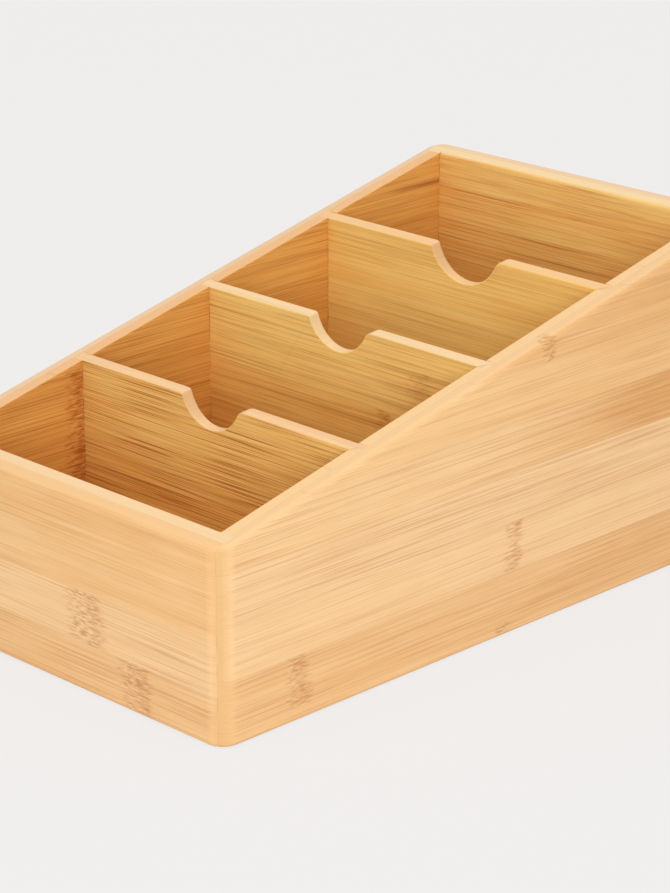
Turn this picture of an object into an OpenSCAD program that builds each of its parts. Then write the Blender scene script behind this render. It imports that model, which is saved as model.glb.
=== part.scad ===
// Tiered kitchen organizer made of glued bamboo boards.
// Two sloped side panels, a low front panel and a tall back panel make a case
// round a base panel, and three notched dividers split it into four compartments.
// X runs across the case, Y from the front to the back, Z up from the table.
// The origin is at the middle of the footprint, on the table.

/* [Case] */
// Width of the case
case_w = 140; // [110:1:200]
// Depth of the case from front to back
case_d = 240; // [180:1:320]
// Height of the sloped rim at the front face
front_h = 63; // [45:1:90]
// Height of the sloped rim at the back face
back_h = 118.6; // [95:0.1:170]

/* [Boards] */
// Thickness of the four wall panels
wall_t = 8.5; // [7:0.1:12]
// Thickness of the three dividers
divider_t = 4.2; // [3:0.1:6]
// Thickness of the base panel
base_t = 4; // [3:0.1:6]
// Height of the base panel's underside above the table
base_lift = 4; // [3:0.5:8]

/* [Joints] */
// Thickness of the side panels' lips that cover the ends of the front and back panels
corner_lip = 2.8; // [2:0.1:4]
// Depth of the slots in the side panels that hold the dividers
slot_depth = 4; // [2:0.1:5]
// Depth of the groove that holds the base panel in all four walls
groove_depth = 4; // [2:0.1:5]
// Room for glue on each side of a board that sits in a slot, a groove or a lip
glue_gap = 0.1; // [0.05:0.05:0.2]

/* [Rounding] */
// Radius of the four upright corners, seen from above
corner_r = 6.5; // [5:0.1:9]
// Radius along the outer edge of the rim
rim_r = 2; // [1:0.1:2.4]
// Radius along the bottom edge
foot_r = 1.5; // [0.5:0.1:2.4]

/* [Finger notches] */
// Radius of the notch in the front and middle dividers
notch_r = 13.5; // [10:0.1:20]
// Depth of that notch at the divider's back face
notch_depth = 10; // [8:0.1:13]
// Radius of the wider notch in the rear divider
rear_notch_r = 15.4; // [12:0.1:22]
// Depth of the rear notch at the divider's back face
rear_notch_depth = 11.4; // [8:0.1:14]
// How far the rear notch sits to the right of the middle
rear_notch_shift = 3.2; // [0:0.1:8]
// Radius that eases a notch's left shoulder
left_shoulder_r = 1.5; // [0.5:0.1:4]
// Radius that eases a notch's right shoulder, which is sanded rounder
right_shoulder_r = 4.5; // [1:0.1:8]

/* [Hidden] */

// How far a cut runs past the face that it opens
overrun = 1;
// Steps round a full circle on the rounding of the walls
rounding_fn = 64;
// Steps round a full circle on the notches
notch_fn = 96;

// The rim lies in one plane that rises from the front face to the back face
rim_slope = (back_h - front_h) / case_d;
rim_angle = atan(rim_slope);
function rim_z(y) = front_h + rim_slope * (y + case_d / 2);

// Clear room inside the four walls
inner_w = case_w - 2 * wall_t;
inner_d = case_d - 2 * wall_t;
base_top = base_lift + base_t;

// Three dividers leave four compartments of one depth
divider_count = 3;
compartment_d = (inner_d - divider_count * divider_t) / (divider_count + 1);
function divider_front_y(i) = -inner_d / 2 + (i + 1) * compartment_d + i * divider_t;

// A box between two opposite corners
module box_between(low, high) {
    translate(low) cube(high - low);
}

// Half of a slab's cross-section, from its middle out to one rounded lower edge
module slab_profile(reach, h, edge_r) {
    square([reach - edge_r, h]);
    translate([0, edge_r]) square([reach, h - edge_r]);
    translate([reach - edge_r, edge_r]) circle(edge_r, $fn = rounding_fn);
}

// A slab with rounded upright corners, whose lower edge is rounded all the way round.
// It stands on the XY plane, centred.
module rounded_slab(w, d, h, edge_r) {
    straight_w = w - 2 * corner_r;
    straight_d = d - 2 * corner_r;
    for (side = [-1, 1], end = [-1, 1])
        translate([side * straight_w / 2, end * straight_d / 2, 0])
            rotate_extrude($fn = rounding_fn) slab_profile(corner_r, h, edge_r);
    for (turn = [0, 180])
        rotate(turn) {
            translate([0, straight_d / 2, 0])
                rotate([90, 0, 0]) linear_extrude(straight_d) slab_profile(w / 2, h, edge_r);
            translate([-straight_w / 2, 0, 0])
                rotate([90, 0, 90]) linear_extrude(straight_w) slab_profile(d / 2, h, edge_r);
        }
}

// What is cut away above the rim: all that lies over its sloped plane, and the
// round along its outer edge, cut square to that plane as a router bit does
module above_rim() {
    run = case_d / cos(rim_angle);
    translate([0, 0, rim_z(0)])
        rotate([rim_angle, 0, 0])
            difference() {
                box_between([-case_w, -run, -rim_r], [case_w, run, back_h]);
                translate([0, -rim_r * tan(rim_angle), 0])
                    mirror([0, 0, 1])
                        rounded_slab(case_w, run, 2 * rim_r, rim_r);
            }
}

// The solid outer form that all four walls are cut from
module case_blank() {
    difference() {
        rounded_slab(case_w, case_d, back_h, foot_r);
        above_rim();
    }
}

// The groove for the base panel, cut as one slab through all four walls
module base_groove() {
    half = [inner_w / 2 + groove_depth, inner_d / 2 + groove_depth];
    box_between([-half.x, -half.y, base_lift], [half.x, half.y, base_top + glue_gap]);
}

// Right-hand side panel: rabbeted at both ends and slotted for the dividers
module side_panel() {
    inner_x = case_w / 2 - wall_t;
    difference() {
        intersection() {
            case_blank();
            box_between(
                [inner_x, -case_d / 2 - overrun, -overrun],
                [case_w / 2 + overrun, case_d / 2 + overrun, back_h + overrun]
            );
        }
        // the ends of the front and back panels sit behind a thin lip
        for (end = [-1, 1])
            translate([0, end * (case_d - wall_t + overrun) / 2, 0])
                box_between(
                    [inner_x - overrun, -(wall_t + overrun) / 2, -overrun],
                    [case_w / 2 - corner_lip, (wall_t + overrun) / 2, back_h + overrun]
                );
        // stopped at the base panel, open at the rim
        for (i = [0 : divider_count - 1])
            translate([0, divider_front_y(i), 0])
                box_between(
                    [inner_x - overrun, -glue_gap, base_top],
                    [inner_x + slot_depth, divider_t + glue_gap, back_h + overrun]
                );
        base_groove();
    }
}

// Front or back panel: its ends fit behind the side panels' lips
module end_panel(end) {
    half_len = case_w / 2 - corner_lip - glue_gap;
    difference() {
        intersection() {
            case_blank();
            translate([0, end * (case_d - wall_t + overrun) / 2, 0])
                box_between(
                    [-half_len, -(wall_t + overrun) / 2, -overrun],
                    [half_len, (wall_t + overrun) / 2, back_h + overrun]
                );
        }
        base_groove();
    }
}

// Right half of a notch's outline in the plane of a divider, with the divider's top
// edge at zero. The round floor runs into a shoulder that is round the other way.
module notch_half(r, depth, shoulder_r) {
    centre_up = r - depth;
    shoulder_x = sqrt(pow(r + shoulder_r, 2) - pow(centre_up + shoulder_r, 2));
    meet_share = r / (r + shoulder_r);
    meet_y = centre_up - (centre_up + shoulder_r) * meet_share;
    intersection() {
        translate([0, centre_up]) circle(r, $fn = notch_fn);
        translate([-overrun, centre_up - r]) square([r + overrun, meet_y - centre_up + r]);
    }
    difference() {
        translate([-overrun, meet_y]) square([shoulder_x + overrun, overrun - meet_y]);
        translate([shoulder_x, -shoulder_r]) circle(shoulder_r, $fn = notch_fn);
    }
}

// Both halves of a notch, which differ only in how round their shoulders are
module notch_outline(r, depth) {
    notch_half(r, depth, right_shoulder_r);
    mirror([1, 0]) notch_half(r, depth, left_shoulder_r);
}

// A divider stands on the base panel with its ends in the side panels' slots.
// Its top is bevelled into the plane of the rim after the notch is cut.
module divider(i, r, depth, shift) {
    half_len = inner_w / 2 + slot_depth - glue_gap;
    front_y = divider_front_y(i);
    back_y = front_y + divider_t;
    difference() {
        rotate([90, 0, 90])
            translate([0, 0, -half_len])
                linear_extrude(2 * half_len)
                    polygon([
                        [front_y, base_top], [back_y, base_top],
                        [back_y, rim_z(back_y)], [front_y, rim_z(front_y)]
                    ]);
        translate([shift, back_y + overrun, rim_z(back_y)])
            rotate([90, 0, 0])
                linear_extrude(divider_t + 2 * overrun)
                    notch_outline(r, depth);
    }
}

module left_side_panel() {
    color("#EAC08C") mirror([1, 0, 0]) side_panel();
}

module right_side_panel() {
    color("#EFC492") side_panel();
}

module front_panel() {
    color("#E9BC82") end_panel(-1);
}

module back_panel() {
    color("#E6B677") end_panel(1);
}

// The base panel lies in the grooves and doesn't show from the photographed side
module base_panel() {
    half = [inner_w / 2 + groove_depth - glue_gap, inner_d / 2 + groove_depth - glue_gap];
    color("#D9A25E")
        box_between([-half.x, -half.y, base_lift], [half.x, half.y, base_top]);
}

module front_divider() {
    color("#E2AE69") divider(0, notch_r, notch_depth, 0);
}

module middle_divider() {
    color("#E4B26E") divider(1, notch_r, notch_depth, 0);
}

module rear_divider() {
    color("#E0AA63") divider(2, rear_notch_r, rear_notch_depth, rear_notch_shift);
}

left_side_panel();
right_side_panel();
front_panel();
back_panel();
base_panel();
front_divider();
middle_divider();
rear_divider();
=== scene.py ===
# Tiered kitchen organizer of glued bamboo boards, dressed and lit for a studio picture.
import math

import bmesh
import bpy
from mathutils import Euler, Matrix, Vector


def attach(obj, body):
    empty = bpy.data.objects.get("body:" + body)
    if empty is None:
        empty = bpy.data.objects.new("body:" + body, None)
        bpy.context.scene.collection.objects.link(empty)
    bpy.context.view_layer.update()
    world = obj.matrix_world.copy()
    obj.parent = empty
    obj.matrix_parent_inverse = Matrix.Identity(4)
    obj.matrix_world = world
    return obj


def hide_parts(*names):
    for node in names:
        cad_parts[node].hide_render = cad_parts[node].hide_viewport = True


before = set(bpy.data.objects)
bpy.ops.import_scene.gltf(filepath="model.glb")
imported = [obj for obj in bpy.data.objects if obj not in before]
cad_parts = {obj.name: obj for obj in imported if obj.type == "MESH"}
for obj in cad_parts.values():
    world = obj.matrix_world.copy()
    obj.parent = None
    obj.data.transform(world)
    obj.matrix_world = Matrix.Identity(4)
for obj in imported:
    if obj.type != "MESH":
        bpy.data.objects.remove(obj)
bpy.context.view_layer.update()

mm = 0.001  # one millimetre in scene units
print("Frame loaded:", len(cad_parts), "boards")


# Small helpers

def hexToLinear(code):
    shares = [int(code[i:i + 2], 16) / 255 for i in (1, 3, 5)]
    linear = [c / 12.92 if c <= 0.04045 else ((c + 0.055) / 1.055) ** 2.4 for c in shares]
    return (*linear, 1.0)


def addNode(tree, kind, inputs=None, **settings):
    # A node or a socket given as an input is linked, anything else is set on the socket
    made = tree.nodes.new(kind)
    for name, value in settings.items():
        setattr(made, name, value)
    for socket, value in (inputs or {}).items():
        if isinstance(value, bpy.types.Node):
            value = value.outputs[0]
        if isinstance(value, bpy.types.NodeSocket):
            tree.links.new(value, made.inputs[socket])
        else:
            made.inputs[socket].default_value = value
    return made


# Camera, at the photograph's angle

viewpoint = {
    "placeMm": (668.06, -670.56, 384.89),
    "azimuthDeg": 45.03,
    "elevationDeg": 19.606,
    "lensMm": 122.53,
    "sensorMm": 36,
}

cameraData = bpy.data.cameras.new("camera")
cameraData.lens = viewpoint["lensMm"]
cameraData.sensor_width = viewpoint["sensorMm"]
camera = bpy.data.objects.new("camera", cameraData)
camera.location = Vector(viewpoint["placeMm"]) * mm
camera.rotation_euler = Euler((
    math.radians(90 - viewpoint["elevationDeg"]), 0, math.radians(viewpoint["azimuthDeg"])
))
bpy.context.scene.collection.objects.link(camera)
bpy.context.scene.camera = camera
print("Camera set")


# Bamboo, pressed from strips of split cane, planed, sanded and given a thin matt lacquer.
# That gives straight fine fibres along each board, knuckles that stop at a strip's edge,
# and sanded edges that are paler than the faces.
# The pattern is a solid one in real millimetres, so a face shows lines, an end shows dots.

bamboo = {
    "stripMm": 16.7,        # width of one glued strip
    "honey": "#FFF4D6",     # stained over a strip that is yellower than its neighbours
    "fibre": "#B58050",     # stained over the board where the dark fibre bundles are
    "knuckle": "#C8945A",   # stained over the grown knots across a strip
    # glue lines; the same colour is painted shade in the inner corners where boards meet
    "glueLineAndShade": "#8A5526",
    "innerNumber": 50,      # the inner ply's strips are numbered from here
    "sameNumber": 0.25,     # two strip numbers closer than this are one
    "caneShiftMm": 700,     # how far apart the pattern of two strips may be taken
    "flatness": 4,          # a fibre bundle is this many times wider through the board
    "strayMm": 0.2,         # how far a fibre strays from straight
    "straySizeMm": (60, 14, 10),
    "bumpMm": 0.04,
    "bumpStrength": 0.4,
    "roughness": (0.5, 0.62),  # between the dark bands and in them
    "gloss": 0.35,
    "refraction": 1.5,
    # length and width of each kind of line, and the noise levels where it starts and is full.
    # A real hair is nearer 0.15 mm wide and wouldn't show.
    "lines": {
        "hairs": {"sizeMm": (42, 0.3), "detail": 0.0, "dark": (0.52, 0.72), "pale": (0.46, 0.28)},
        "fibres": {"sizeMm": (80, 0.55), "detail": 1.0, "dark": (0.54, 0.72), "pale": (0.44, 0.28)},
        "streaks": {"sizeMm": (150, 0.9), "detail": 0.0, "dark": (0.56, 0.7), "pale": (0.36, 0.24)},
        "dashes": {"sizeMm": (22, 0.45), "detail": 0.0, "dark": (0.64, 0.74), "pale": (0.34, 0.24)},
        "bands": {"sizeMm": (110, 4.5), "detail": 3.0, "dark": (0.3, 0.7), "pale": (0.3, 0.7)},
        "patches": {"sizeMm": (26, 7.0), "detail": 1.0, "dark": (0.3, 0.7), "pale": (0.3, 0.7)},
    },
    "lineShift": (3.7, 9.1),  # keeps the kinds of line apart in the noise
    "lineRoughness": 0.6,
    # a normal's share through the board tells a sanded edge, its share along tells an end
    "edgeFacing": (0.3, 0.85),
    "edgeShare": 0.9,       # how much of a sanded edge's own colour covers the face's
    "edgeLines": (2, 0.3),  # strength of the lines on a face and on a sanded edge
    "edgeLinesBy": 0.5,     # they are weakest from half-way round on
    "endFacing": (0.28, 0.7),
    "endShare": 0.85,
    "endLinesFacing": (0.02, 0.35),
    "endLines": (1, 0.25),
    # glue lines and painted corner shade: how strong each is, and how far from its middle it is
    # full and gone
    "seamShare": 0.12,      # between two strips, its reach in shares of a strip
    "seamReach": (0.003, 0.014),
    "plySeamShare": 0.12,
    "plySeamReachMm": (0.05, 0.3),
    # the inside share of the line where boards meet is mostly painted shade in the corner
    "endSeamAndShadeShares": (0.25, 0.8),  # where boards meet, outside and inside
    "endSeamReachMm": (0.1, 0.35),
}

knuckle = {
    "jagMm": 6,             # how far its edges stray along the board
    "jagSizeMm": (12, 3, 1.1),
    "bandReach": (0.25, 0.65),  # where it starts to fade and is gone, in shares of its width
    "smearPlace": 0.3,
    "smearReach": 0.35,
    "dashSizeMm": (3.4, 0.6, 0.6),
    "darkDash": (0.5, 0.64),  # noise levels where a dash starts and is full
    "paleDash": (0.45, 0.33),
}


def boardPlaces(tree, board, looks):
    # Where a point is: along, through and across the board in millimetres, in which ply and
    # strip, and where on that strip's own fibres
    coordinates = addNode(tree, "ShaderNodeTexCoord")
    inMm = addNode(
        tree, "ShaderNodeVectorMath", {0: coordinates.outputs["Object"], "Scale": 1 / mm},
        operation="SCALE",
    )
    axes = addNode(tree, "ShaderNodeSeparateXYZ", {0: inMm})
    along, through, across = (axes.outputs[letter] for letter in board["axes"])

    # a wall is two plies thick, and the inner one is laid from other strips
    depth = addNode(tree, "ShaderNodeMath", {0: through}, operation="ABSOLUTE")
    inner = addNode(
        tree, "ShaderNodeMath", {0: depth, 1: board["plySeamMm"]}, operation="LESS_THAN"
    )
    outerSeam, innerSeam = (look["seamMm"] for look in looks)
    seamPlace = addNode(tree, "ShaderNodeMath", {
        0: inner, 1: innerSeam - outerSeam, 2: outerSeam,
    }, operation="MULTIPLY_ADD")
    fromSeam = addNode(tree, "ShaderNodeMath", {0: across, 1: seamPlace}, operation="SUBTRACT")
    stripPlace = addNode(
        tree, "ShaderNodeMath", {0: fromSeam, 1: bamboo["stripMm"]}, operation="DIVIDE"
    )
    stripNumber = addNode(tree, "ShaderNodeMath", {0: stripPlace}, operation="FLOOR")
    plyNumber = addNode(
        tree, "ShaderNodeMath", {0: inner, 1: bamboo["innerNumber"], 2: stripNumber},
        operation="MULTIPLY_ADD",
    )

    # each strip is cut from another cane, and its fibres stray a little on their way
    stripSeed = addNode(
        tree, "ShaderNodeMath", {0: plyNumber, 1: board["seed"]}, operation="ADD"
    )
    stripRandom = addNode(
        tree, "ShaderNodeTexWhiteNoise", {"W": stripSeed}, noise_dimensions="1D"
    ).outputs["Value"]
    shiftedAlong = addNode(
        tree, "ShaderNodeMath", {0: stripRandom, 1: bamboo["caneShiftMm"], 2: along},
        operation="MULTIPLY_ADD",
    )
    flatThrough = addNode(
        tree, "ShaderNodeMath", {0: through, 1: bamboo["flatness"]}, operation="DIVIDE"
    )
    straight = addNode(tree, "ShaderNodeCombineXYZ", {0: shiftedAlong, 1: flatThrough, 2: across})
    strayPlace = addNode(tree, "ShaderNodeVectorMath", {
        0: straight, 1: [1 / size for size in bamboo["straySizeMm"]],
    }, operation="MULTIPLY")
    stray = addNode(tree, "ShaderNodeTexNoise", {"Vector": strayPlace, "Scale": 1, "Detail": 1})
    stray = addNode(tree, "ShaderNodeMath", {
        0: stray, 1: 2 * bamboo["strayMm"], 2: -bamboo["strayMm"],
    }, operation="MULTIPLY_ADD")
    strayAcross = addNode(tree, "ShaderNodeCombineXYZ", {2: stray})
    grain = addNode(
        tree, "ShaderNodeVectorMath", {0: straight, 1: strayAcross}, operation="ADD"
    )
    return {
        "along": along, "depth": depth, "inner": inner, "stripPlace": stripPlace,
        "stripNumber": stripNumber, "plyNumber": plyNumber, "grain": grain,
    }


def lineMasks(tree, at):
    # Where each kind of line is, as masks of its dark and its pale half
    dark, pale = {}, {}
    for i, (kind, line) in enumerate(bamboo["lines"].items()):
        long, wide = line["sizeMm"]
        alongShift, throughShift = (shift * i for shift in bamboo["lineShift"])
        place = addNode(tree, "ShaderNodeVectorMath", {
            0: at["grain"], 1: (1 / long, 1 / wide, 1 / wide), 2: (alongShift, throughShift, 0),
        }, operation="MULTIPLY_ADD")
        noise = addNode(tree, "ShaderNodeTexNoise", {
            "Vector": place, "Scale": 1, "Detail": line["detail"],
            "Roughness": bamboo["lineRoughness"],
        })
        for masks, half in ((dark, "dark"), (pale, "pale")):
            start, full = line[half]
            masks[kind] = addNode(
                tree, "ShaderNodeMapRange", {0: noise, 1: start, 2: full},
                interpolation_type="SMOOTHSTEP",
            )
    return dark, pale


def knuckleMasks(tree, board, at):
    # Bands across one strip where the fibres are knotted, smeared darker at their far side
    jagPlace = addNode(tree, "ShaderNodeVectorMath", {
        0: at["grain"], 1: [1 / size for size in knuckle["jagSizeMm"]],
    }, operation="MULTIPLY")
    jag = addNode(tree, "ShaderNodeTexNoise", {"Vector": jagPlace, "Scale": 1, "Detail": 2})
    jagged = addNode(tree, "ShaderNodeMath", {
        0: jag, 1: 2 * knuckle["jagMm"], 2: -knuckle["jagMm"],
    }, operation="MULTIPLY_ADD")
    fadeStart, fadeEnd = knuckle["bandReach"]
    band = smear = 0.0
    spots = [(spot, 0) for spot in board.get("outer", {}).get("knuckles", ())]
    spots += [(spot, bamboo["innerNumber"]) for spot in board["inner"]["knuckles"]]
    for (place, number, width, slant, strength), firstNumber in spots:
        offset = addNode(
            tree, "ShaderNodeMath", {0: at["along"], 1: place}, operation="SUBTRACT"
        )
        offset = addNode(tree, "ShaderNodeMath", {0: offset, 1: jagged}, operation="ADD")
        offset = addNode(
            tree, "ShaderNodeMath", {0: at["stripPlace"], 1: slant, 2: offset},
            operation="MULTIPLY_ADD",
        )
        reach = addNode(tree, "ShaderNodeMath", {0: offset}, operation="ABSOLUTE")
        inBand = addNode(tree, "ShaderNodeMapRange", {
            0: reach, 1: width * fadeStart, 2: width * fadeEnd, 3: strength, 4: 0,
        }, interpolation_type="SMOOTHSTEP")
        farSide = addNode(
            tree, "ShaderNodeMath", {0: offset, 1: width * knuckle["smearPlace"]},
            operation="SUBTRACT",
        )
        farSide = addNode(tree, "ShaderNodeMath", {0: farSide}, operation="ABSOLUTE")
        inSmear = addNode(tree, "ShaderNodeMapRange", {
            0: farSide, 1: 0, 2: width * knuckle["smearReach"], 3: strength, 4: 0,
        }, interpolation_type="SMOOTHSTEP")
        here = addNode(tree, "ShaderNodeMath", {
            0: at["plyNumber"], 1: number + firstNumber, 2: bamboo["sameNumber"],
        }, operation="COMPARE")
        inBand = addNode(tree, "ShaderNodeMath", {0: inBand, 1: here}, operation="MULTIPLY")
        inSmear = addNode(tree, "ShaderNodeMath", {0: inSmear, 1: here}, operation="MULTIPLY")
        band = addNode(tree, "ShaderNodeMath", {0: inBand, 1: band}, operation="MAXIMUM")
        smear = addNode(tree, "ShaderNodeMath", {0: inSmear, 1: smear}, operation="MAXIMUM")
    dashPlace = addNode(tree, "ShaderNodeVectorMath", {
        0: at["grain"], 1: [1 / size for size in knuckle["dashSizeMm"]],
    }, operation="MULTIPLY")
    noise = addNode(tree, "ShaderNodeTexNoise", {"Vector": dashPlace, "Scale": 1, "Detail": 1})
    masks = {"band": band, "smear": smear}
    for kind, (start, full) in (("dark", knuckle["darkDash"]), ("pale", knuckle["paleDash"])):
        dash = addNode(tree, "ShaderNodeMapRange", {0: noise, 1: start, 2: full})
        masks[kind] = addNode(tree, "ShaderNodeMath", {0: dash, 1: band}, operation="MULTIPLY")
    return masks


def facings(tree, board):
    # How much a face is a sanded edge, whose normal lies in the plane of the board, and how
    # much it points along the board
    coordinates = addNode(tree, "ShaderNodeTexCoord")
    normal = addNode(tree, "ShaderNodeSeparateXYZ", {0: coordinates.outputs["Normal"]})
    alongAxis, throughAxis, _ = board["axes"]
    throughwards = addNode(
        tree, "ShaderNodeMath", {0: normal.outputs[throughAxis]}, operation="ABSOLUTE"
    )
    start, full = bamboo["edgeFacing"]
    cutEdge = addNode(tree, "ShaderNodeMapRange", {
        0: throughwards, 1: start, 2: full, 3: 1, 4: 0,
    }, interpolation_type="SMOOTHSTEP")
    endwards = addNode(
        tree, "ShaderNodeMath", {0: normal.outputs[alongAxis]}, operation="ABSOLUTE"
    )
    onFace = addNode(tree, "ShaderNodeMath", {0: 1.0, 1: cutEdge}, operation="SUBTRACT")
    return {"cutEdge": cutEdge, "onFace": onFace, "endwards": endwards}


def stripLooks(tree, looks, at):
    # Each strip's own looks from a ramp, the outer ply's in its first half
    strips = looks[0]["strips"] + looks[1]["strips"]
    halfShare = 0.5 / len(looks[0]["strips"])
    rampPlace = addNode(tree, "ShaderNodeMath", {
        0: at["stripNumber"], 1: halfShare, 2: halfShare / 2,
    }, operation="MULTIPLY_ADD")
    rampPlace = addNode(
        tree, "ShaderNodeMath", {0: at["inner"], 1: 0.5, 2: rampPlace}, operation="MULTIPLY_ADD"
    )
    ramp = addNode(tree, "ShaderNodeValToRGB", {0: rampPlace})
    ramp.color_ramp.interpolation = "CONSTANT"
    while len(ramp.color_ramp.elements) < len(strips):
        ramp.color_ramp.elements.new(0.5)
    for i, (element, look) in enumerate(zip(ramp.color_ramp.elements, strips)):
        element.position = i / len(strips)
        element.color = look
    split = addNode(tree, "ShaderNodeSeparateColor", {0: ramp.outputs[0]})
    shade, honey, lines = split.outputs
    return {"shade": shade, "honey": honey, "lines": lines, "fade": ramp.outputs[1]}


def faceColour(tree, board, looks, at, dark, pale, strip):
    # Tone, from the strip's own, its fade along the board, partly painted shade where the light
    # falls off, and the soft bands in it
    fadeStart, fadeEnd = board["fadeMm"]
    # painted shade in part: the tone falls along the board where the light falls off
    fade = addNode(tree, "ShaderNodeMapRange", {0: at["along"], 1: fadeStart, 2: fadeEnd})
    fade = addNode(tree, "ShaderNodeMath", {0: fade, 1: strip["fade"]}, operation="MULTIPLY")
    tone = addNode(tree, "ShaderNodeMath", {0: strip["shade"], 1: fade}, operation="SUBTRACT")
    tone = addNode(tree, "ShaderNodeMath", {
        0: dark["bands"], 1: -board["bandShare"], 2: tone,
    }, operation="MULTIPLY_ADD")
    tone = addNode(tree, "ShaderNodeMath", {
        0: pale["patches"], 1: board["patchShare"], 2: tone,
    }, operation="MULTIPLY_ADD")
    faces = [
        addNode(tree, "ShaderNodeMix", {
            0: tone, 6: hexToLinear(look["deepest"]), 7: hexToLinear(look["palest"]),
        }, data_type="RGBA").outputs[2]
        for look in looks
    ]
    colour = addNode(
        tree, "ShaderNodeMix", {0: at["inner"], 6: faces[0], 7: faces[1]}, data_type="RGBA"
    ).outputs[2]
    return addNode(tree, "ShaderNodeMix", {
        0: strip["honey"], 6: colour, 7: hexToLinear(bamboo["honey"]),
    }, data_type="RGBA", blend_type="MULTIPLY").outputs[2]


def edgesOver(tree, board, looks, at, facing, colour):
    # Sanded edges are paler, and end grain shows where a face turns to the board's end
    edgeColour = addNode(tree, "ShaderNodeMix", {
        0: at["inner"], 6: hexToLinear(looks[0]["cutEdge"]), 7: hexToLinear(looks[1]["cutEdge"]),
    }, data_type="RGBA")
    edgeShare = addNode(
        tree, "ShaderNodeMath", {0: facing["cutEdge"], 1: bamboo["edgeShare"]},
        operation="MULTIPLY",
    )
    colour = addNode(tree, "ShaderNodeMix", {
        0: edgeShare, 6: colour, 7: edgeColour.outputs[2],
    }, data_type="RGBA").outputs[2]
    start, full = bamboo["endFacing"]
    atEnd = addNode(tree, "ShaderNodeMapRange", {
        0: facing["endwards"], 1: start, 2: full, 4: bamboo["endShare"],
    })
    return addNode(tree, "ShaderNodeMix", {
        0: atEnd, 6: colour, 7: hexToLinear(board["endGrain"]),
    }, data_type="RGBA").outputs[2]


def linesOver(tree, board, dark, pale, facing, strip, colour):
    # Lines, dark and pale, stronger in some strips than in others, weak on a sanded edge
    # and weaker where a round corner cuts them short
    onFace, onEdge = bamboo["edgeLines"]
    edgeFade = addNode(tree, "ShaderNodeMapRange", {
        0: facing["cutEdge"], 2: bamboo["edgeLinesBy"], 3: onFace, 4: onEdge,
    })
    lineShare = addNode(
        tree, "ShaderNodeMath", {0: strip["lines"], 1: edgeFade}, operation="MULTIPLY"
    )
    start, full = bamboo["endLinesFacing"]
    onSide, onEnd = bamboo["endLines"]
    endFade = addNode(tree, "ShaderNodeMapRange", {
        0: facing["endwards"], 1: start, 2: full, 3: onSide, 4: onEnd,
    })
    lineShare = addNode(
        tree, "ShaderNodeMath", {0: lineShare, 1: endFade}, operation="MULTIPLY"
    )
    for masks, hue, shares, blend in (
        (dark, bamboo["fibre"], board["darkShares"], "MULTIPLY"),
        (pale, board["paleFibre"], board["paleShares"], "MIX"),
    ):
        for kind, share in shares.items():
            amount = addNode(
                tree, "ShaderNodeMath", {0: masks[kind], 1: share}, operation="MULTIPLY"
            )
            amount = addNode(
                tree, "ShaderNodeMath", {0: amount, 1: lineShare}, operation="MULTIPLY"
            )
            colour = addNode(tree, "ShaderNodeMix", {
                0: amount, 6: colour, 7: hexToLinear(hue),
            }, data_type="RGBA", blend_type=blend).outputs[2]
    return colour


def streaksOver(tree, board, at, facing, patches, colour):
    # Brown streaks at heights of their own, on inner faces only
    grainHeight = addNode(tree, "ShaderNodeSeparateXYZ", {0: at["grain"]}).outputs[2]
    for height, width, share in board["inner"]["streaks"]:
        away = addNode(tree, "ShaderNodeMath", {0: grainHeight, 1: height}, operation="SUBTRACT")
        away = addNode(tree, "ShaderNodeMath", {0: away}, operation="ABSOLUTE")
        streak = addNode(tree, "ShaderNodeMapRange", {
            0: away, 1: 0, 2: width, 3: share, 4: 0,
        }, interpolation_type="SMOOTHSTEP")
        for limit in (at["inner"], facing["onFace"], patches):
            streak = addNode(tree, "ShaderNodeMath", {0: streak, 1: limit}, operation="MULTIPLY")
        colour = addNode(tree, "ShaderNodeMix", {
            0: streak, 6: colour, 7: hexToLinear(bamboo["fibre"]),
        }, data_type="RGBA", blend_type="MULTIPLY").outputs[2]
    return colour


def knucklesOver(tree, board, knots, colour):
    # The knotted bands, and the dark and pale dashes in them
    for kind, share in board["knuckleShares"].items():
        amount = addNode(tree, "ShaderNodeMath", {0: knots[kind], 1: share}, operation="MULTIPLY")
        hue, blend = bamboo["knuckle"], "MULTIPLY"
        if kind == "pale":
            hue, blend = board["paleFibre"], "MIX"
        colour = addNode(tree, "ShaderNodeMix", {
            0: amount, 6: colour, 7: hexToLinear(hue),
        }, data_type="RGBA", blend_type=blend).outputs[2]
    return colour


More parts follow.
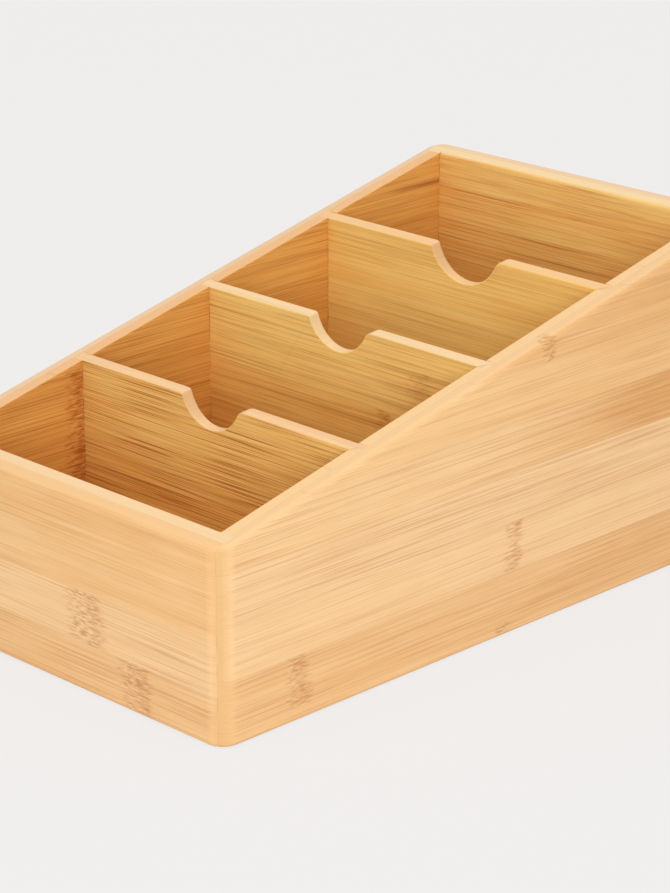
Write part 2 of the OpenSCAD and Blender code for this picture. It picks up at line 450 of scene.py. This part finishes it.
def seamsOver(tree, board, looks, at, facing, patches, colour):
    # Glue lines between strips, between plies and where the boards meet at their ends, broken here
    # and there. The line where boards meet is a glue line outside and mostly painted shade in the
    # inner corners.
    toSeam = addNode(tree, "ShaderNodeMath", {0: at["stripPlace"], 1: 0.5}, operation="PINGPONG")
    full, gone = bamboo["seamReach"]
    seam = addNode(tree, "ShaderNodeMapRange", {
        0: toSeam, 1: full, 2: gone, 3: bamboo["seamShare"], 4: 0,
    })
    toPly = addNode(
        tree, "ShaderNodeMath", {0: at["depth"], 1: board["plySeamMm"]}, operation="SUBTRACT"
    )
    toPly = addNode(tree, "ShaderNodeMath", {0: toPly}, operation="ABSOLUTE")
    full, gone = bamboo["plySeamReachMm"]
    plySeam = addNode(tree, "ShaderNodeMapRange", {
        0: toPly, 1: full, 2: gone, 3: bamboo["plySeamShare"], 4: 0,
    })
    outerEnd, innerEnd = (look["endSeamMm"] for look in looks)
    endPlace = addNode(tree, "ShaderNodeMath", {
        0: at["inner"], 1: innerEnd - outerEnd, 2: outerEnd,
    }, operation="MULTIPLY_ADD")
    toEnd = addNode(tree, "ShaderNodeMath", {0: at["along"]}, operation="ABSOLUTE")
    toEnd = addNode(tree, "ShaderNodeMath", {0: toEnd, 1: endPlace}, operation="SUBTRACT")
    toEnd = addNode(tree, "ShaderNodeMath", {0: toEnd}, operation="ABSOLUTE")
    # painted shade: the line where boards meet is strong in the inner corners
    outerShare, innerShare = bamboo["endSeamAndShadeShares"]
    endShare = addNode(tree, "ShaderNodeMath", {
        0: at["inner"], 1: innerShare - outerShare, 2: outerShare,
    }, operation="MULTIPLY_ADD")
    full, gone = bamboo["endSeamReachMm"]
    endSeam = addNode(tree, "ShaderNodeMapRange", {0: toEnd, 1: full, 2: gone, 3: endShare, 4: 0})
    endSeam = addNode(
        tree, "ShaderNodeMath", {0: endSeam, 1: facing["onFace"]}, operation="MULTIPLY"
    )
    for mask in (seam, plySeam, endSeam):
        broken = addNode(tree, "ShaderNodeMath", {0: mask, 1: patches}, operation="MULTIPLY")
        colour = addNode(tree, "ShaderNodeMix", {
            0: broken, 6: colour, 7: hexToLinear(bamboo["glueLineAndShade"]),
        }, data_type="RGBA").outputs[2]
    return colour


def bambooMaterial(name, board):
    material = bpy.data.materials.new(name)
    material.use_nodes = True
    tree = material.node_tree
    tree.nodes.clear()
    looks = (board.get("outer", board["inner"]), board["inner"])  # the outer ply's first
    at = boardPlaces(tree, board, looks)
    dark, pale = lineMasks(tree, at)
    knots = knuckleMasks(tree, board, at)
    facing = facings(tree, board)
    strip = stripLooks(tree, looks, at)

    colour = faceColour(tree, board, looks, at, dark, pale, strip)
    colour = edgesOver(tree, board, looks, at, facing, colour)
    colour = linesOver(tree, board, dark, pale, facing, strip, colour)
    colour = streaksOver(tree, board, at, facing, pale["patches"], colour)
    colour = knucklesOver(tree, board, knots, colour)
    colour = seamsOver(tree, board, looks, at, facing, pale["patches"], colour)

    # the lacquer follows the fibres a little, and is duller over the dark bands
    height = addNode(
        tree, "ShaderNodeMath", {0: pale["fibres"], 1: knots["dark"]}, operation="SUBTRACT"
    )
    relief = addNode(tree, "ShaderNodeBump", {
        "Strength": bamboo["bumpStrength"], "Distance": bamboo["bumpMm"] * mm, "Height": height,
    })
    smoothest, dullest = bamboo["roughness"]
    roughness = addNode(
        tree, "ShaderNodeMapRange", {0: dark["bands"], 3: smoothest, 4: dullest}
    )
    shader = addNode(tree, "ShaderNodeBsdfPrincipled", {
        "Base Color": colour, "Roughness": roughness, "IOR": bamboo["refraction"],
        "Specular IOR Level": bamboo["gloss"], "Normal": relief,
    })
    addNode(tree, "ShaderNodeOutputMaterial", {0: shader})
    return material


# Boards

case = {
    "rimFrontMm": 63.0,
    "rimBackMm": 118.6,
    "depthMm": 240.0,
    "innerHalfWidthMm": 61.5,
    "innerHalfDepthMm": 111.5,
    "baseTopMm": 8.0,
    "glueGapMm": 0.1,
    "dividerMm": 4.2,
    "dividerFrontsMm": (-58.9, -2.1, 54.7),
    "dividerHalfLengthMm": 65.4,
    "lapHalfLengthMm": 67.2,
}
joinery = {
    "doubleMm": 0.001,     # corners closer than this are merged
    "flatDeg": 0.4,        # faces that turn less than this are one
    "arrisDeg": 50,        # an edge that turns more than this can be eased
    "easingSteps": 3,
    "easingProfile": 0.5,  # a round one
    "stopWidthMm": 0.05,   # an eased arris ends over this length
    "creaseDeg": 38,       # an edge that turns more than this is shaded sharp
}
rimSlope = (case["rimBackMm"] - case["rimFrontMm"]) / case["depthMm"]
innerX, innerY = case["innerHalfWidthMm"], case["innerHalfDepthMm"]
nearMm = 0.04    # two places closer than this are one
nowhereMm = 500  # for a seam that a board doesn't have


def rimHeightMm(yMm):
    return case["rimFrontMm"] + rimSlope * (yMm + case["depthMm"] / 2)


def easeArrises(mesh, isArris, widthMm, stopMm=None):
    # Rounds the long sharp edges that sandpaper would take down. Where a side wall stops
    # the sandpaper, the faces are cut twice first, so that they stay flat past the stop.
    work = bmesh.new()
    work.from_mesh(mesh)
    cutsMm = [stopMm, stopMm + joinery["stopWidthMm"]] if stopMm else []
    for cutMm in cutsMm:
        for side in (-1, 1):
            bmesh.ops.bisect_plane(
                work, geom=[*work.verts, *work.edges, *work.faces],
                plane_co=(side * cutMm * mm, 0, 0), plane_no=(1, 0, 0),
            )
    arrises = [
        edge for edge in work.edges
        if len(edge.link_faces) == 2
        and edge.calc_face_angle_signed() > math.radians(joinery["arrisDeg"])
        and all(isArris(vert.co / mm) for vert in edge.verts)
    ]
    bmesh.ops.bevel(
        work, geom=arrises, offset=widthMm * mm, offset_type="OFFSET",
        segments=joinery["easingSteps"], profile=joinery["easingProfile"], affect="EDGES",
        clamp_overlap=False,
    )
    work.to_mesh(mesh)
    work.free()
    return len(arrises)


def finishBoard(name, node, mesh, material):
    mesh.materials.clear()
    mesh.materials.append(material)
    mesh.shade_smooth()
    mesh.set_sharp_from_angle(angle=math.radians(joinery["creaseDeg"]))
    piece = bpy.data.objects.new(name, mesh)
    bpy.context.scene.collection.objects.link(piece)
    piece.modifiers.new("evenShading", "WEIGHTED_NORMAL").keep_sharp = True
    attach(piece, "root")
    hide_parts(node)
    return piece


def wallFromCad(node, closedGaps):
    # The CAD board with its doubles merged. Glue fills its joints, so their gaps are closed:
    # each row is an axis, where the face was, and where it goes.
    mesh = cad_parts[node].data.copy()
    mesh.attributes.remove(mesh.attributes["custom_normal"])  # it hides sharp edges
    work = bmesh.new()
    work.from_mesh(mesh)
    bmesh.ops.remove_doubles(work, verts=work.verts, dist=joinery["doubleMm"] * mm)
    bmesh.ops.dissolve_limit(
        work, angle_limit=math.radians(joinery["flatDeg"]), verts=work.verts, edges=work.edges
    )
    for axis, wasMm, nowMm in closedGaps:
        for vert in work.verts:
            if abs(abs(vert.co[axis]) - wasMm * mm) < nearMm * mm:
                vert.co[axis] = math.copysign(nowMm * mm, vert.co[axis])
    work.to_mesh(mesh)
    work.free()
    return mesh


# Each strip, from the lowest, has its shade, its honey stain, the strength of its lines
# and how much it darkens along the board, partly its own tone and partly painted shade
# where the light falls off along the board. Each knuckle has its place along the board,
# its strip, its width, its slant and its strength. Each streak has its height, its width
# and its strength.

sideBoards = {
    "axes": "YXZ", "easingMm": 0.35, "plySeamMm": 65.75, "seed": 3, "fadeMm": (5, 75),
    "endGrain": "#E8BA7E", "paleFibre": "#FFE3B4", "bandShare": 0.18, "patchShare": 0.12,
    "knuckleShares": {"band": 0.1, "smear": 0.2, "dark": 0.36, "pale": 0.3},
    "darkShares": {"hairs": 0.22, "fibres": 0.08, "streaks": 0.04, "dashes": 0.05},
    "paleShares": {"hairs": 0.16, "fibres": 0.06},
    "outer": {
        "palest": "#FBD29D", "deepest": "#E4A866", "cutEdge": "#FACE96",
        "seamMm": -12.0, "endSeamMm": nowhereMm,
        # the last column darkens a strip towards the back: painted shade where the light falls off,
        # and in the fifth strip also its own darker tone
        "strips": (
            (0.75, 0.2, 0.5, 0.1), (0.66, 0.1, 0.45, 0.12), (0.98, 0.1, 0.35, 0.05),
            (0.9, 0.0, 0.6, 0.08), (0.88, 0.2, 0.5, 0.8), (0.9, 0.4, 0.4, 0.22),
            (0.66, 0.45, 0.4, 0.15), (0.68, 0.45, 0.4, 0.15),
        ),
        "knuckles": (
            (-86, 1, 9.5, 2.0, 1.0), (5, 2, 7, -1.0, 1.0), (2, 0, 5, 0.0, 1.0),
            (22, 6, 6, 0.0, 1.0),
        ),
    },
    "inner": {
        "palest": "#FFC872", "deepest": "#E6A24A", "cutEdge": "#FED39A",
        "seamMm": -9.0, "endSeamMm": nowhereMm, "streaks": (), "knuckles": (),
        "strips": ((0.8, 0.1, 0.5, 0.0),) * 8,
    },
}
leftBoard = dict(
    sideBoards, seed=21, fadeMm=(30, -112), bandShare=0.4, paleFibre="#FFD48C",
    knuckleShares={"band": 0.15, "smear": 0.4, "dark": 0.6, "pale": 0.26},
    darkShares={"hairs": 0.28, "fibres": 0.16, "streaks": 0.12, "dashes": 0.16},
    outer=dict(
        sideBoards["outer"], cutEdge="#F4CFA6",
        knuckles=((64, 1, 9, 2.0, 0.4), (-18, 3, 7, -1.0, 0.4), (-75, 2, 6, 0.0, 0.4)),
    ),
    inner=dict(
        sideBoards["inner"], palest="#FFC568", deepest="#E2A250", cutEdge="#F8C38C",
        # the lower strips are paler: painted light against the shade low in the compartments
        strips=((0.68, 0.1, 0.6, 0.45),) * 4 + ((0.58, 0.1, 0.6, 0.45),) * 4,
        streaks=((106.5, 1.6, 0.7),),
        knuckles=tuple((-62.2, strip, 7.5, 0.0, 1.0) for strip in (2, 3, 4)),
    ),
)
frontBoard = {
    "axes": "XYZ", "easingMm": 0.4, "plySeamMm": 115.75, "seed": 41, "fadeMm": (60, -70),
    "endGrain": "#E8BA7E", "paleFibre": "#FFE3B4", "bandShare": 0.2, "patchShare": 0.12,
    "knuckleShares": {"band": 0.1, "smear": 0.15, "dark": 0.45, "pale": 0.5},
    "darkShares": {"hairs": 0.26, "fibres": 0.16, "streaks": 0.12, "dashes": 0.1},
    "paleShares": {"hairs": 0.2, "fibres": 0.12},
    "outer": {
        "palest": "#FDD49E", "deepest": "#E4A866", "cutEdge": "#FBCB8F",
        "seamMm": -0.4, "endSeamMm": case["lapHalfLengthMm"],
        "strips": (
            (0.64, 0.1, 0.45, 0.05), (0.95, 0.0, 0.4, 0.05), (0.78, 0.3, 0.3, 0.05),
            (0.66, 0.4, 0.3, 0.05),
        ),
        "knuckles": ((12, 1, 16, 2.0, 1.0), (33, 0, 13, 2.0, 1.0)),
    },
    "inner": {
        "palest": "#FCC882", "deepest": "#E2A25A", "cutEdge": "#FDD8A6",
        # the inner end line, at the side walls' faces, is mostly painted shade in the corner
        "seamMm": -7.0, "endSeamMm": innerX, "streaks": (), "knuckles": (),
        "strips": ((0.8, 0.1, 0.5, 0.0),) * 4,
    },
}
backBoard = dict(
    frontBoard, easingMm=1.3, seed=62, paleFibre="#FFDC96", bandShare=0.45,
    darkShares={"hairs": 0.24, "fibres": 0.16, "streaks": 0.12, "dashes": 0.16},
    outer=dict(
        frontBoard["outer"], cutEdge="#FAD6AC",
        strips=(
            (0.7, 0.2, 0.6, 0.0), (0.85, 0.1, 0.5, 0.1), (0.6, 0.3, 0.6, 0.0),
            (0.8, 0.2, 0.4, 0.1), (0.9, 0.1, 0.6, 0.0), (0.65, 0.3, 0.5, 0.1),
            (0.8, 0.2, 0.5, 0.0), (0.7, 0.2, 0.5, 0.0),
        ),
        knuckles=((-30, 2, 12, 2.0, 0.8), (24, 5, 10, -1.0, 0.8)),
    ),
    inner=dict(
        frontBoard["inner"], palest="#FFDC88", deepest="#F0AA50", cutEdge="#FFE0AE",
        seamMm=-7.4, strips=((0.68, 0.25, 0.7, 0.0),) * 6 + ((0.74, 0.25, 0.6, 0.0),) * 2,
        streaks=((104.5, 0.5, 0.6), (92.8, 0.5, 0.6), (86.5, 0.5, 0.6)),
    ),
)
dividerBoards = {
    "axes": "XYZ", "plySeamMm": nowhereMm, "seed": 80, "fadeMm": (60, -60),
    "endGrain": "#E6BB84", "paleFibre": "#FFE29C", "bandShare": 0.3, "patchShare": 0.2,
    "knuckleShares": {"band": 0.2, "smear": 0.25, "dark": 0.45, "pale": 0.15},
    "darkShares": {"hairs": 0.3, "fibres": 0.22, "streaks": 0.25, "dashes": 0.2},
    "paleShares": {"hairs": 0.2, "fibres": 0.14},
    "inner": {
        "palest": "#FFDE86", "deepest": "#F6BC62", "cutEdge": "#FDCF9C",
        # the end line where a divider enters its slot is mostly painted shade in the corner
        "seamMm": -0.9, "endSeamMm": innerX, "streaks": (), "knuckles": (),
        "strips": ((0.7, 0.1, 0.5, 0.0), (0.7, 0.2, 0.5, 0.0)) * 4,
    },
}

gap = case["glueGapMm"]
grooveGap = (2, case["baseTopMm"] + gap, case["baseTopMm"])
lapGap = (0, case["lapHalfLengthMm"] - gap, case["lapHalfLengthMm"])
slotGaps = [(0, case["dividerHalfLengthMm"] + gap, case["dividerHalfLengthMm"])]
for front in case["dividerFrontsMm"]:
    back = front + case["dividerMm"]
    slotGaps += [(1, abs(front - gap), abs(front)), (1, abs(back + gap), abs(back))]


def isSideArris(place):
    onWall = abs(abs(place.x) - innerX) < nearMm
    return onWall and abs(place.z - rimHeightMm(place.y)) < nearMm


def isEndArris(place):
    onWall = abs(abs(place.y) - innerY) < nearMm and abs(place.x) < innerX + nearMm
    return onWall and abs(place.z - rimHeightMm(place.y)) < nearMm


sideGaps, endGaps = [grooveGap] + slotGaps, [grooveGap, lapGap]
walls = (
    ("leftSideBoard", "left_side_panel", leftBoard, sideGaps, isSideArris, None),
    ("rightSideBoard", "right_side_panel", sideBoards, sideGaps, isSideArris, None),
    ("frontBoard", "front_panel", frontBoard, endGaps, isEndArris, innerX),
    ("backBoard", "back_panel", backBoard, endGaps, isEndArris, innerX),
)
for name, node, board, closedGaps, isArris, stopMm in walls:
    mesh = wallFromCad(node, closedGaps)
    count = easeArrises(mesh, isArris, board["easingMm"], stopMm)
    finishBoard(name, node, mesh, bambooMaterial("laminatedBamboo_" + name, board))
    print("Wall", name, "made, arrises eased:", count)

baseBoard = dict(
    dividerBoards, axes="YZX", seed=140,
    inner=dict(dividerBoards["inner"], seamMm=-66.8, endSeamMm=nowhereMm),
)
mesh = wallFromCad("base_panel", [])
material = bambooMaterial("plyBamboo_base", baseBoard)
finishBoard("baseBoard", "base_panel", mesh, material)
print("Base made")


# Dividers: one notched board, three sizes

notches = {
    "leftShoulderMm": 1.5,
    "rightShoulderMm": 4.5,
    "sandedShare": 0.5,  # how much of the rim's slope the shoulders were sanded to
    "floorSteps": 40,
    "shoulderSteps": 8,
}


def notchedDividerTree():
    tree = bpy.data.node_groups.new("notchedDivider", "GeometryNodeTree")
    for name in (
        "Half length", "Inner half width", "Thickness", "Bottom", "Front face", "Rim height",
        "Rim slope", "Notch radius", "Notch depth", "Notch shift", "Left shoulder",
        "Right shoulder", "Sanded share",
    ):
        tree.interface.new_socket(name, in_out="INPUT", socket_type="NodeSocketFloat")
    for name in ("Floor steps", "Shoulder steps"):
        tree.interface.new_socket(name, in_out="INPUT", socket_type="NodeSocketInt")
    tree.interface.new_socket("Bamboo", in_out="INPUT", socket_type="NodeSocketMaterial")
    tree.interface.new_socket("Geometry", in_out="OUTPUT", socket_type="NodeSocketGeometry")
    given = addNode(tree, "NodeGroupInput").outputs
    radius, top = given["Notch radius"], given["Rim height"]
    centreUp = addNode(
        tree, "ShaderNodeMath", {0: radius, 1: given["Notch depth"]}, operation="SUBTRACT"
    )

    # On each side the floor's round and the shoulder's are fillets of one straight line.
    # It touches both where the line between their centres crosses it.
    steepness, corners, feet = [], [], []
    for shoulder in (given["Left shoulder"], given["Right shoulder"]):
        reach = addNode(tree, "ShaderNodeMath", {0: radius, 1: shoulder}, operation="ADD")
        rise = addNode(tree, "ShaderNodeMath", {0: centreUp, 1: shoulder}, operation="ADD")
        reachSquared = addNode(tree, "ShaderNodeMath", {0: reach, 1: reach}, operation="MULTIPLY")
        riseSquared = addNode(tree, "ShaderNodeMath", {0: rise, 1: rise}, operation="MULTIPLY")
        runSquared = addNode(
            tree, "ShaderNodeMath", {0: reachSquared, 1: riseSquared}, operation="SUBTRACT"
        )
        run = addNode(tree, "ShaderNodeMath", {0: runSquared}, operation="SQRT")
        share = addNode(tree, "ShaderNodeMath", {0: radius, 1: reach}, operation="DIVIDE")
        meetX = addNode(tree, "ShaderNodeMath", {0: run, 1: share}, operation="MULTIPLY")
        drop = addNode(tree, "ShaderNodeMath", {0: rise, 1: share}, operation="MULTIPLY")
        meetY = addNode(tree, "ShaderNodeMath", {0: centreUp, 1: drop}, operation="SUBTRACT")
        steep = addNode(tree, "ShaderNodeMath", {0: run, 1: rise}, operation="DIVIDE")
        back = addNode(tree, "ShaderNodeMath", {0: meetY, 1: steep}, operation="DIVIDE")
        down = addNode(tree, "ShaderNodeMath", {0: meetX, 1: steep}, operation="MULTIPLY")
        steepness.append(steep)
        corners.append(addNode(tree, "ShaderNodeMath", {0: meetX, 1: back}, operation="SUBTRACT"))
        feet.append(addNode(tree, "ShaderNodeMath", {0: meetY, 1: down}, operation="SUBTRACT"))

    # the two lines cross below the floor
    footStep = addNode(tree, "ShaderNodeMath", {0: feet[0], 1: feet[1]}, operation="SUBTRACT")
    bothSteep = addNode(
        tree, "ShaderNodeMath", {0: steepness[0], 1: steepness[1]}, operation="ADD"
    )
    crossX = addNode(tree, "ShaderNodeMath", {0: footStep, 1: bothSteep}, operation="DIVIDE")
    crossY = addNode(
        tree, "ShaderNodeMath", {0: crossX, 1: steepness[1], 2: feet[1]}, operation="MULTIPLY_ADD"
    )
    shift = given["Notch shift"]
    floorX = addNode(tree, "ShaderNodeMath", {0: shift, 1: crossX}, operation="ADD")
    floorZ = addNode(tree, "ShaderNodeMath", {0: top, 1: crossY}, operation="ADD")
    left = addNode(tree, "ShaderNodeMath", {0: shift, 1: corners[0]}, operation="SUBTRACT")
    right = addNode(tree, "ShaderNodeMath", {0: shift, 1: corners[1]}, operation="ADD")
    halfLength, halfWidth = given["Half length"], given["Inner half width"]
    bottom = given["Bottom"]
    minusLength = addNode(tree, "ShaderNodeMath", {0: halfLength, 1: -1.0}, operation="MULTIPLY")
    minusWidth = addNode(tree, "ShaderNodeMath", {0: halfWidth, 1: -1.0}, operation="MULTIPLY")
    sharp, shoulderSteps, floorSteps = 1, given["Shoulder steps"], given["Floor steps"]
    outline = (  # each corner's place, radius and steps
        (minusLength, bottom, 0.0, sharp), (halfLength, bottom, 0.0, sharp),
        (halfLength, top, 0.0, sharp), (halfWidth, top, 0.0, sharp),
        (right, top, given["Right shoulder"], shoulderSteps),
        (floorX, floorZ, radius, floorSteps),
        (left, top, given["Left shoulder"], shoulderSteps),
        (minusWidth, top, 0.0, sharp), (minusLength, top, 0.0, sharp),
    )
    index = addNode(tree, "GeometryNodeInputIndex")
    switches = []
    for kind in ("VECTOR", "FLOAT", "INT"):
        switch = addNode(tree, "GeometryNodeIndexSwitch", {"Index": index}, data_type=kind)
        while len(switch.index_switch_items) < len(outline):
            switch.index_switch_items.new()
        switches.append(switch)
    for i, (x, z, rounding, steps) in enumerate(outline):
        place = addNode(tree, "ShaderNodeCombineXYZ", {0: x, 1: z})
        for switch, value in zip(switches, (place.outputs[0], rounding, steps)):
            if isinstance(value, bpy.types.NodeSocket):
                tree.links.new(value, switch.inputs[i + 1])
            else:
                switch.inputs[i + 1].default_value = value
    chain = addNode(tree, "GeometryNodeMeshLine", {"Count": len(outline)})
    placed = addNode(
        tree, "GeometryNodeSetPosition", {"Geometry": chain, "Position": switches[0]}
    )
    curve = addNode(tree, "GeometryNodeMeshToCurve", {0: placed})
    closed = addNode(tree, "GeometryNodeSetSplineCyclic", {0: curve, "Cyclic": True})
    rounded = addNode(tree, "GeometryNodeFilletCurve", {
        "Curve": closed, "Radius": switches[1], "Count": switches[2],
    }, mode="POLY")
    face = addNode(tree, "GeometryNodeFillCurve", {0: rounded}, mode="NGONS")

    # the face gets its thickness and is stood up in its place
    slab = addNode(tree, "GeometryNodeExtrudeMesh", {
        "Mesh": face, "Offset Scale": given["Thickness"], "Individual": False,
    })
    underside = addNode(tree, "GeometryNodeFlipFaces", {0: face})
    whole = addNode(tree, "GeometryNodeJoinGeometry", {0: slab})
    tree.links.new(underside.outputs[0], whole.inputs[0])
    merged = addNode(
        tree, "GeometryNodeMergeByDistance",
        {"Geometry": whole, "Distance": joinery["doubleMm"] * mm},
    )
    backFace = addNode(
        tree, "ShaderNodeMath", {0: given["Front face"], 1: given["Thickness"]}, operation="ADD"
    )
    standing = addNode(tree, "GeometryNodeTransform", {
        "Geometry": merged,
        "Translation": addNode(tree, "ShaderNodeCombineXYZ", {1: backFace}),
        "Rotation": (math.radians(90), 0, 0),
    })

    # its shoulders are sanded towards the rim's slope, and its top is planed into the rim
    here = addNode(tree, "GeometryNodeInputPosition")
    axes = addNode(tree, "ShaderNodeSeparateXYZ", {0: here})
    forward = addNode(
        tree, "ShaderNodeMath", {0: axes.outputs[1], 1: backFace}, operation="SUBTRACT"
    )
    fall = addNode(
        tree, "ShaderNodeMath", {0: forward, 1: given["Rim slope"]}, operation="MULTIPLY"
    )
    rim = addNode(tree, "ShaderNodeMath", {0: top, 1: fall}, operation="ADD")
    notchFloor = addNode(
        tree, "ShaderNodeMath", {0: top, 1: given["Notch depth"]}, operation="SUBTRACT"
    )
    upNotch = addNode(
        tree, "ShaderNodeMapRange", {0: axes.outputs[2], 1: notchFloor, 2: top}
    )
    sanded = addNode(
        tree, "ShaderNodeMath", {0: upNotch, 1: given["Sanded share"]}, operation="MULTIPLY"
    )
    lowered = addNode(
        tree, "ShaderNodeMath", {0: fall, 1: sanded, 2: axes.outputs[2]}, operation="MULTIPLY_ADD"
    )
    height = addNode(tree, "ShaderNodeMath", {0: lowered, 1: rim}, operation="MINIMUM")
    planedPlace = addNode(
        tree, "ShaderNodeCombineXYZ", {0: axes.outputs[0], 1: axes.outputs[1], 2: height}
    )
    planed = addNode(
        tree, "GeometryNodeSetPosition", {"Geometry": standing, "Position": planedPlace}
    )
    real = addNode(tree, "GeometryNodeRealizeInstances", {0: planed})
    dressed = addNode(
        tree, "GeometryNodeSetMaterial", {"Geometry": real, "Material": given["Bamboo"]}
    )
    addNode(tree, "NodeGroupOutput", {0: dressed})
    return tree


def isDividerArris(place):
    return abs(place.x) < innerX + nearMm and place.z > case["baseTopMm"] + nearMm


dividerTree = notchedDividerTree()
dividers = {
    "front_divider": {
        "notchRadiusMm": 13.5, "notchDepthMm": 10.0, "notchShiftMm": 0.0, "easingMm": 0.35,
        "seed": 80, "bandShare": 0.2,
        "darkShares": {"hairs": 0.8, "fibres": 0.34, "streaks": 0.2, "dashes": 0.1},
        "paleShares": {"hairs": 0.3, "fibres": 0.2},
        "inner": dict(
            dividerBoards["inner"], palest="#FFDF8A", deepest="#EEB45C",
            # the lower strips are darker and more honeyed: painted shade low in the compartment
            strips=((0.28, 0.3, 0.5, 0.0),) * 3 + ((0.42, 0.2, 0.5, 0.0),) * 5,
        ),
    },
    "middle_divider": {
        "notchRadiusMm": 13.5, "notchDepthMm": 10.0, "notchShiftMm": 0.0, "easingMm": 0.45,
        "seed": 97, "endGrain": "#EFCD96",
        "inner": dict(
            dividerBoards["inner"], cutEdge="#FEDAA8",
            knuckles=((37, 4, 9, 0.0, 0.5), (21, 3, 6, 0.0, 0.8)),
            # the lower strips are darker and more honeyed: painted shade low in the compartment
            strips=((0.42, 0.25, 0.5, 0.0),) * 4 + ((0.7, 0.15, 0.5, 0.0),) * 4,
        ),
    },
    "rear_divider": {
        "notchRadiusMm": 15.4, "notchDepthMm": 11.4, "notchShiftMm": 3.2, "easingMm": 0.5,
        "seed": 114, "bandShare": 0.22,
        "darkShares": {"hairs": 0.2, "fibres": 0.14, "streaks": 0.15, "dashes": 0.1},
        "inner": dict(
            dividerBoards["inner"], palest="#FFDB82", cutEdge="#FDCC94",
            # the lower strips are paler: painted light against the shade low in the compartment
            strips=((1.0, 0.1, 0.5, 0.0),) * 5 + ((0.7, 0.25, 0.5, 0.0),) * 3,
        ),
    },
}
for front, (node, divider) in zip(case["dividerFrontsMm"], dividers.items()):
    name = node.replace("_d", "D") + "Board"
    material = bambooMaterial("plyBamboo_" + name, dict(dividerBoards, **divider))
    blank = bpy.data.objects.new(name + "Blank", bpy.data.meshes.new(name + "Blank"))
    bpy.context.scene.collection.objects.link(blank)
    grow = blank.modifiers.new("notchedDivider", "NODES")
    grow.node_group = dividerTree
    values = {
        "Half length": case["dividerHalfLengthMm"] * mm,
        "Inner half width": innerX * mm,
        "Thickness": case["dividerMm"] * mm,
        "Bottom": case["baseTopMm"] * mm,
        "Front face": front * mm,
        "Rim height": rimHeightMm(front + case["dividerMm"]) * mm,
        "Rim slope": rimSlope,
        "Notch radius": divider["notchRadiusMm"] * mm,
        "Notch depth": divider["notchDepthMm"] * mm,
        "Notch shift": divider["notchShiftMm"] * mm,
        "Left shoulder": notches["leftShoulderMm"] * mm,
        "Right shoulder": notches["rightShoulderMm"] * mm,
        "Sanded share": notches["sandedShare"],
        "Floor steps": notches["floorSteps"],
        "Shoulder steps": notches["shoulderSteps"],
        "Bamboo": material,
    }
    for item in dividerTree.interface.items_tree:
        if item.in_out == "INPUT":
            grow[item.identifier] = values[item.name]
    evaluated = blank.evaluated_get(bpy.context.evaluated_depsgraph_get())
    mesh = bpy.data.meshes.new_from_object(evaluated)
    bpy.data.objects.remove(blank)
    count = easeArrises(mesh, isDividerArris, divider["easingMm"])
    finishBoard(name, node, mesh, material)
    print("Divider", name, "made:", len(mesh.polygons), "faces, arrises eased:", count)


# Studio: soft light from all round, a low softbox at the right front and a lamp overhead

studio = {
    "backdrop": "#F0EEED",
    "floor": "#E8E6E4",
    "shownFloor": "#F3F1F0",
    "shownShare": 0.85,  # how much of the floor the camera sees as plain backdrop, without shadow
    "skyStrength": 0.78,
    "lamps": {
        "softbox": {"placeMm": (780, -760, 320), "sizeMm": 350, "watts": 3.1},
        "overhead": {"placeMm": (200, -200, 1300), "sizeMm": 800, "watts": 2.0},
    },
    "aimHeightMm": 50,
    "floorReachMm": 6000,
    "floorDropMm": 0.2,  # so that the boards' undersides don't lie in the floor
}

floorMaterial = bpy.data.materials.new("paintedFloor")
floorMaterial.use_nodes = True
tree = floorMaterial.node_tree
tree.nodes.clear()
paint = addNode(tree, "ShaderNodeBsdfDiffuse", {"Color": hexToLinear(studio["floor"])})
shown = addNode(
    tree, "ShaderNodeEmission", {"Color": hexToLinear(studio["shownFloor"]), "Strength": 1.0}
)
lightPath = addNode(tree, "ShaderNodeLightPath")
share = addNode(
    tree, "ShaderNodeMath", {0: lightPath.outputs["Is Camera Ray"], 1: studio["shownShare"]},
    operation="MULTIPLY",
)
surface = addNode(tree, "ShaderNodeMixShader", {0: share, 1: paint, 2: shown})
addNode(tree, "ShaderNodeOutputMaterial", {0: surface})
floorMesh = bpy.data.meshes.new("floor")
reach = studio["floorReachMm"] * mm
floorMesh.from_pydata(
    [(-reach, -reach, 0), (reach, -reach, 0), (reach, reach, 0), (-reach, reach, 0)], [],
    [(0, 1, 2, 3)],
)
floorMesh.materials.append(floorMaterial)
floor = bpy.data.objects.new("floor", floorMesh)
floor.location.z = -studio["floorDropMm"] * mm
bpy.context.scene.collection.objects.link(floor)

world = bpy.data.worlds.new("studio")
bpy.context.scene.world = world
world.use_nodes = True
tree = world.node_tree
tree.nodes.clear()
sky = addNode(tree, "ShaderNodeBackground", {
    "Color": (1, 1, 1, 1), "Strength": studio["skyStrength"],
})
backdrop = addNode(
    tree, "ShaderNodeBackground", {"Color": hexToLinear(studio["backdrop"]), "Strength": 1.0}
)
lightPath = addNode(tree, "ShaderNodeLightPath")
surface = addNode(
    tree, "ShaderNodeMixShader", {0: lightPath.outputs["Is Camera Ray"], 1: sky, 2: backdrop}
)
addNode(tree, "ShaderNodeOutputWorld", {0: surface})

for name, lamp in studio["lamps"].items():
    lampData = bpy.data.lights.new(name, "AREA")
    lampData.shape = "SQUARE"
    lampData.size = lamp["sizeMm"] * mm
    lampData.energy = lamp["watts"]
    lampObject = bpy.data.objects.new(name, lampData)
    lampObject.location = Vector(lamp["placeMm"]) * mm
    fromAim = lampObject.location - Vector((0, 0, studio["aimHeightMm"] * mm))
    lampObject.rotation_euler = fromAim.to_track_quat("Z", "Y").to_euler()
    bpy.context.scene.collection.objects.link(lampObject)

bpy.context.scene.view_settings.view_transform = "Standard"
print("Studio lit")
